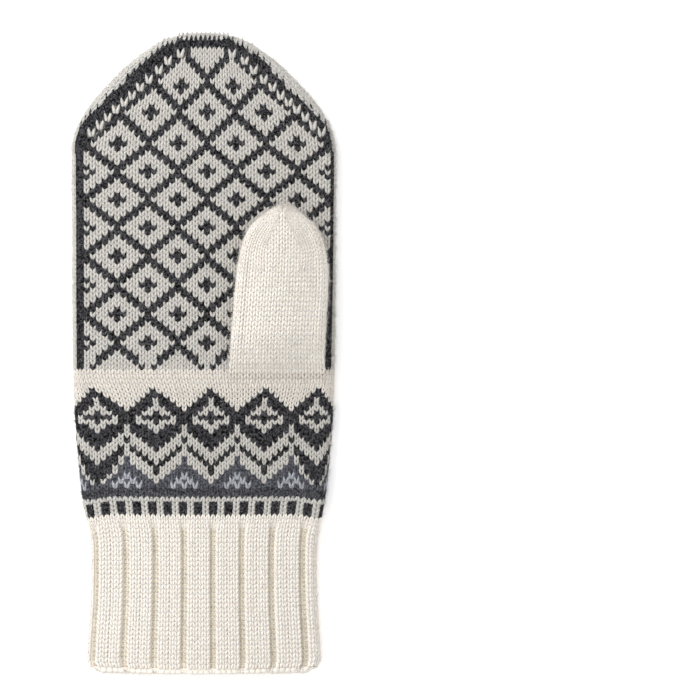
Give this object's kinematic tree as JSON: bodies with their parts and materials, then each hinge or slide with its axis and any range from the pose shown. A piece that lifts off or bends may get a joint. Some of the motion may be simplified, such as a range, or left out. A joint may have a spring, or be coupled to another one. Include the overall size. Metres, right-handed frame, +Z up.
{
  "type": "wool mitten",
  "caption": "Knitted wool mitten lying flat, palm up: ribbed cuff, patterned border band, hollow hand with an arched tip, and a thumb lying on the palm.",
  "frame": {"origin": "on the surface that the mitten lies on, below the middle of its length and width", "axes": "+Y from the cuff's mouth to the finger tip, +Z up from the back of the hand to the palm, +X to the thumb's side"},
  "size_m": [0.112, 0.27, 0.0274],
  "materials": {
    "cuff_wool": "plain ivory rib knit",
    "band_wool": "stranded knit in charcoal, grey and cream",
    "hand_wool": "stranded knit in cream and charcoal",
    "thumb_wool": "plain cream stocking stitch"
  },
  "bodies": {
    "root": {"cuff": "cuff_wool", "border_band": "band_wool", "hand": "hand_wool", "thumb": "thumb_wool"}
  },
  "joints": []
}
